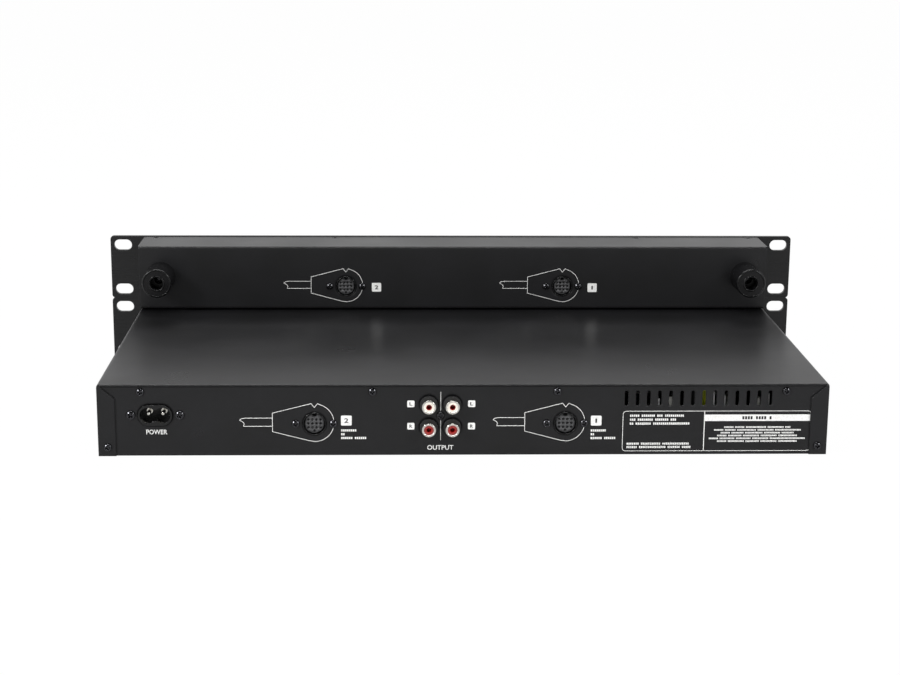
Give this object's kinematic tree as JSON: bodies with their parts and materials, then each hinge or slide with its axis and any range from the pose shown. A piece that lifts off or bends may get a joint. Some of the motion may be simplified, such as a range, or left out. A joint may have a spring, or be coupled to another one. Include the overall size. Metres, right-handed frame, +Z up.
{
  "type": "dual disc player",
  "caption": "Rack disc player with motor trays, under a shallow control unit with jog wheels, pitch faders and keys; phono, link and mains sockets at the rear.",
  "frame": {"origin": "centre of the player's underside", "axes": "the front panels face -Y, the sockets face +Y, +X is to the right seen from the front, +Z is up"},
  "size_m": [0.4826, 0.2576, 0.0888],
  "materials": {
    "case_paint": "satin black powder coat on folded steel",
    "panel_paint": "satin black paint on aluminium, brushed through",
    "black_zinc": "black zinc plated steel",
    "socket_plastic": "black moulded nylon",
    "nickel_plate": "bright nickel plate",
    "insert_white": "white moulded insert",
    "insert_red": "red moulded insert",
    "circuit_board": "green solder resist on glass fibre",
    "winding_tape": "yellow winding tape",
    "heatsink": "plain extruded aluminium",
    "frame_plastic": "black moulded frame plastic",
    "zinc_steel": "zinc plated pressed steel",
    "tray_plastic": "dark grey moulded tray",
    "bezel_plastic": "black moulded bezel",
    "gear_plastic": "natural white acetal",
    "turntable_plastic": "black moulding with a rubber ring",
    "pickup_plastic": "black moulded sled",
    "key_plastic": "grey moulded key",
    "jog_plastic": "black moulded jog wheel and fader cap",
    "window": "smoked clear window",
    "foot_rubber": "black moulded rubber"
  },
  "bodies": {
    "player": {"player_chassis": "case_paint", "player_cover": "case_paint", "player_front_panel": "panel_paint", "player_screws": "black_zinc", "mains_inlet": "socket_plastic", "mains_pins": "nickel_plate", "player_link_sockets": "socket_plastic", "phono_block": "socket_plastic", "phono_barrels": "nickel_plate", "phono_inserts_white": "insert_white", "phono_inserts_red": "insert_red", "player_boards": "circuit_board", "power_transformer": "winding_tape", "power_heatsinks": "heatsink", "clamp_bridges": "zinc_steel", "load_motors": "zinc_steel", "loader_frame_1": "frame_plastic", "loader_frame_2": "frame_plastic"},
    "control_unit": {"control_case": "case_paint", "control_front_panel": "panel_paint", "control_board": "circuit_board", "control_link_sockets": "socket_plastic", "control_feet": "foot_rubber", "control_screws": "black_zinc", "display_windows": "window"},
    "power_button": {"power_button": "key_plastic"},
    "tray_1": {"tray_1": "tray_plastic", "tray_front_1": "bezel_plastic"},
    "drive_gear_1": {"drive_gear_1": "gear_plastic"},
    "optical_base_1": {"optical_base_1": "zinc_steel", "guide_rods_1": "zinc_steel", "spindle_motor_1": "zinc_steel"},
    "turntable_1": {"turntable_1": "turntable_plastic"},
    "clamp_puck_1": {"clamp_puck_1": "gear_plastic"},
    "pickup_1": {"pickup_1": "pickup_plastic"},
    "open_button_1": {"open_button_1": "key_plastic"},
    "tray_2": {"tray_2": "tray_plastic", "tray_front_2": "bezel_plastic"},
    "drive_gear_2": {"drive_gear_2": "gear_plastic"},
    "optical_base_2": {"optical_base_2": "zinc_steel", "guide_rods_2": "zinc_steel", "spindle_motor_2": "zinc_steel"},
    "turntable_2": {"turntable_2": "turntable_plastic"},
    "clamp_puck_2": {"clamp_puck_2": "gear_plastic"},
    "pickup_2": {"pickup_2": "pickup_plastic"},
    "open_button_2": {"open_button_2": "key_plastic"},
    "jog_wheel_1": {"jog_wheel_1": "jog_plastic"},
    "pitch_fader_1": {"pitch_fader_1": "jog_plastic"},
    "cue_button_1": {"cue_button_1": "key_plastic"},
    "play_button_1": {"play_button_1": "key_plastic"},
    "skip_back_button_1": {"skip_back_button_1": "key_plastic"},
    "skip_next_button_1": {"skip_next_button_1": "key_plastic"},
    "pitch_button_1": {"pitch_button_1": "key_plastic"},
    "jog_wheel_2": {"jog_wheel_2": "jog_plastic"},
    "pitch_fader_2": {"pitch_fader_2": "jog_plastic"},
    "cue_button_2": {"cue_button_2": "key_plastic"},
    "play_button_2": {"play_button_2": "key_plastic"},
    "skip_back_button_2": {"skip_back_button_2": "key_plastic"},
    "skip_next_button_2": {"skip_next_button_2": "key_plastic"},
    "pitch_button_2": {"pitch_button_2": "key_plastic"}
  },
  "joints": [
    {"name": "control_lift", "type": "slide", "parent": "player", "child": "control_unit", "axis": [0, 0, 1], "range_m": [0, 0.12]},
    {"name": "power_press", "type": "slide", "parent": "player", "child": "power_button", "axis": [0, 1, 0], "range_m": [0, 0.003], "stiffness_N_per_m": 400, "springref_m": -0.003},
    {"name": "tray_slide_1", "type": "slide", "parent": "player", "child": "tray_1", "axis": [0, -1, 0], "range_m": [0, 0.13]},
    {"name": "drive_gear_turn_1", "type": "hinge", "parent": "player", "child": "drive_gear_1", "pos_m": [-0.156, -0.098, 0.0175], "axis": [0, 0, 1], "range_deg": [0, 745]},
    {"name": "base_tilt_1", "type": "hinge", "parent": "player", "child": "optical_base_1", "pos_m": [-0.112, 0.032, 0.015], "axis": [1, 0, 0], "range_deg": [0, 4]},
    {"name": "turntable_spin_1", "type": "hinge", "parent": "optical_base_1", "child": "turntable_1", "pos_m": [-0.112, -0.052, 0.024], "axis": [0, 0, 1], "continuous": true},
    {"name": "puck_spin_1", "type": "hinge", "parent": "player", "child": "clamp_puck_1", "pos_m": [-0.112, -0.052, 0.028], "axis": [0, 0, 1], "continuous": true},
    {"name": "pickup_slide_1", "type": "slide", "parent": "optical_base_1", "child": "pickup_1", "axis": [0, 1, 0], "range_m": [0, 0.034]},
    {"name": "open_press_1", "type": "slide", "parent": "player", "child": "open_button_1", "axis": [0, 1, 0], "range_m": [0, 0.001], "stiffness_N_per_m": 400, "springref_m": -0.002},
    {"name": "tray_slide_2", "type": "slide", "parent": "player", "child": "tray_2", "axis": [0, -1, 0], "range_m": [0, 0.13]},
    {"name": "drive_gear_turn_2", "type": "hinge", "parent": "player", "child": "drive_gear_2", "pos_m": [0.068, -0.098, 0.0175], "axis": [0, 0, 1], "range_deg": [0, 745]},
    {"name": "base_tilt_2", "type": "hinge", "parent": "player", "child": "optical_base_2", "pos_m": [0.112, 0.032, 0.015], "axis": [1, 0, 0], "range_deg": [0, 4]},
    {"name": "turntable_spin_2", "type": "hinge", "parent": "optical_base_2", "child": "turntable_2", "pos_m": [0.112, -0.052, 0.024], "axis": [0, 0, 1], "continuous": true},
    {"name": "puck_spin_2", "type": "hinge", "parent": "player", "child": "clamp_puck_2", "pos_m": [0.112, -0.052, 0.028], "axis": [0, 0, 1], "continuous": true},
    {"name": "pickup_slide_2", "type": "slide", "parent": "optical_base_2", "child": "pickup_2", "axis": [0, 1, 0], "range_m": [0, 0.034]},
    {"name": "open_press_2", "type": "slide", "parent": "player", "child": "open_button_2", "axis": [0, 1, 0], "range_m": [0, 0.001], "stiffness_N_per_m": 400, "springref_m": -0.002},
    {"name": "jog_spin_1", "type": "hinge", "parent": "control_unit", "child": "jog_wheel_1", "pos_m": [-0.1115, -0.121, 0.06665], "axis": [0, 1, 0], "continuous": true},
    {"name": "pitch_slide_1", "type": "slide", "parent": "control_unit", "child": "pitch_fader_1", "axis": [1, 0, 0], "range_m": [-0.013, 0.013]},
    {"name": "cue_press_1", "type": "slide", "parent": "control_unit", "child": "cue_button_1", "axis": [0, 1, 0], "range_m": [0, 0.001], "stiffness_N_per_m": 400, "springref_m": -0.002},
    {"name": "play_press_1", "type": "slide", "parent": "control_unit", "child": "play_button_1", "axis": [0, 1, 0], "range_m": [0, 0.001], "stiffness_N_per_m": 400, "springref_m": -0.002},
    {"name": "skip_back_press_1", "type": "slide", "parent": "control_unit", "child": "skip_back_button_1", "axis": [0, 1, 0], "range_m": [0, 0.001], "stiffness_N_per_m": 400, "springref_m": -0.002},
    {"name": "skip_next_press_1", "type": "slide", "parent": "control_unit", "child": "skip_next_button_1", "axis": [0, 1, 0], "range_m": [0, 0.001], "stiffness_N_per_m": 400, "springref_m": -0.002},
    {"name": "pitch_press_1", "type": "slide", "parent": "control_unit", "child": "pitch_button_1", "axis": [0, 1, 0], "range_m": [0, 0.001], "stiffness_N_per_m": 400, "springref_m": -0.002},
    {"name": "jog_spin_2", "type": "hinge", "parent": "control_unit", "child": "jog_wheel_2", "pos_m": [0.1035, -0.121, 0.06665], "axis": [0, 1, 0], "continuous": true},
    {"name": "pitch_slide_2", "type": "slide", "parent": "control_unit", "child": "pitch_fader_2", "axis": [1, 0, 0], "range_m": [-0.013, 0.013]},
    {"name": "cue_press_2", "type": "slide", "parent": "control_unit", "child": "cue_button_2", "axis": [0, 1, 0], "range_m": [0, 0.001], "stiffness_N_per_m": 400, "springref_m": -0.002},
    {"name": "play_press_2", "type": "slide", "parent": "control_unit", "child": "play_button_2", "axis": [0, 1, 0], "range_m": [0, 0.001], "stiffness_N_per_m": 400, "springref_m": -0.002},
    {"name": "skip_back_press_2", "type": "slide", "parent": "control_unit", "child": "skip_back_button_2", "axis": [0, 1, 0], "range_m": [0, 0.001], "stiffness_N_per_m": 400, "springref_m": -0.002},
    {"name": "skip_next_press_2", "type": "slide", "parent": "control_unit", "child": "skip_next_button_2", "axis": [0, 1, 0], "range_m": [0, 0.001], "stiffness_N_per_m": 400, "springref_m": -0.002},
    {"name": "pitch_press_2", "type": "slide", "parent": "control_unit", "child": "pitch_button_2", "axis": [0, 1, 0], "range_m": [0, 0.001], "stiffness_N_per_m": 400, "springref_m": -0.002}
  ],
  "couplings": [
    {"joint": "drive_gear_turn_1", "follows": "tray_slide_1", "rad_per_m": 100},
    {"joint": "puck_spin_1", "follows": "turntable_spin_1", "ratio": 1},
    {"joint": "drive_gear_turn_2", "follows": "tray_slide_2", "rad_per_m": 100},
    {"joint": "puck_spin_2", "follows": "turntable_spin_2", "ratio": 1}
  ]
}
